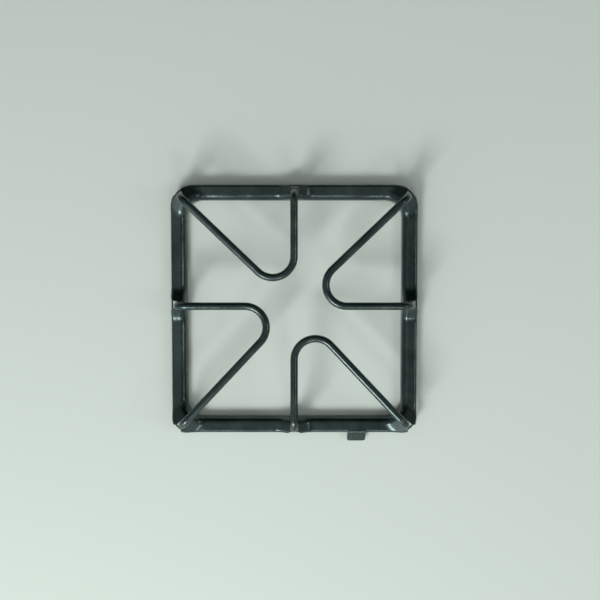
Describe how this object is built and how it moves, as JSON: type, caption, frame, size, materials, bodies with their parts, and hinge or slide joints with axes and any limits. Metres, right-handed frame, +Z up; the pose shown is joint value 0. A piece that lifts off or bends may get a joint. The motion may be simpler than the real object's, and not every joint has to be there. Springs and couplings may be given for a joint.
{
  "type": "hob pan support",
  "caption": "Square enamelled steel pan support for one gas burner: a low pressed channel frame with a locating tab, carrying raised bent wire fingers that point to the burner.",
  "frame": {"origin": "middle of the square frame, on the surface that its skirt stands on", "axes": "+Z up towards the pan, +Y to the rear of the hob, -Y to the edge with the locating tab"},
  "size_m": [0.2128, 0.2235, 0.047],
  "materials": {
    "enamel": "glossy dark slate-grey vitreous enamel over steel"
  },
  "bodies": {
    "root": {"frame": "enamel", "rear_finger": "enamel", "right_finger": "enamel", "front_finger": "enamel", "left_finger": "enamel"}
  },
  "joints": []
}
